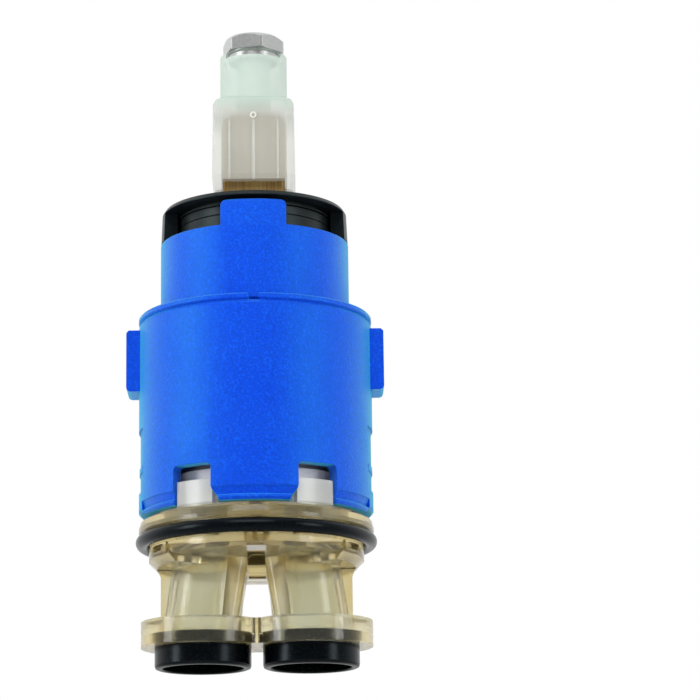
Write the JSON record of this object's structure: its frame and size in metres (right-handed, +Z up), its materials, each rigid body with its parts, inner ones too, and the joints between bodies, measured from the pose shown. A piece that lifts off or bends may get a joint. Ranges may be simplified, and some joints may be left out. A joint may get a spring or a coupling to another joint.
{
  "type": "ceramic disc tap cartridge",
  "caption": "Cylindrical mixer-tap cartridge with a tilting, turning square lever on top, ceramic discs inside, keyed housing, and sealed inlet tubes below.",
  "frame": {"origin": "on the cartridge axis, in the plane of the inlet seals' lower faces", "axes": "+Z up along the cartridge axis towards the lever screw, -Y towards the stop tab, X through the side keys and the inlets"},
  "size_m": [0.0308, 0.0288, 0.078],
  "materials": {
    "blue_plastic": "satin",
    "dark_plastic": "satin",
    "amber_plastic": "translucent",
    "milky_plastic": "translucent",
    "white_plastic": "satin",
    "brass": "brushed",
    "steel": "zinc plated",
    "rubber": "satin",
    "ceramic": "lapped"
  },
  "bodies": {
    "cartridge": {"housing": "blue_plastic", "shoulder_slip_ring": "blue_plastic", "carrier_glide_washer": "white_plastic", "fixed_disc": "ceramic", "disc_seal_left": "rubber", "disc_seal_right": "rubber", "disc_seal_outlet": "rubber", "base": "amber_plastic", "base_o_ring": "rubber", "inlet_seal_left": "rubber", "inlet_seal_right": "rubber"},
    "carrier": {"lever_carrier": "dark_plastic", "stop_ring": "dark_plastic", "brake_o_ring": "rubber", "pivot_pin": "steel"},
    "lever": {"lever_spindle": "brass", "lever_sleeve": "milky_plastic", "lever_screw": "steel"},
    "slide": {"disc_driver": "white_plastic", "mixing_seal": "rubber", "moving_disc": "ceramic"}
  },
  "joints": [
    {"name": "temperature_turn", "type": "hinge", "parent": "cartridge", "child": "carrier", "pos_m": [0, 0, 0.0465], "axis": [0, 0, 1], "range_deg": [-50, 50]},
    {"name": "lever_tilt", "type": "hinge", "parent": "carrier", "child": "lever", "pos_m": [0, 0, 0.0425], "axis": [1, 0, 0], "range_deg": [-12, 12]},
    {"name": "disc_slide", "type": "slide", "parent": "carrier", "child": "slide", "axis": [0, 1, 0], "range_m": [-0.0019, 0.0019]}
  ],
  "couplings": [
    {"joint": "disc_slide", "follows": "lever_tilt", "m_per_rad": 0.009}
  ]
}
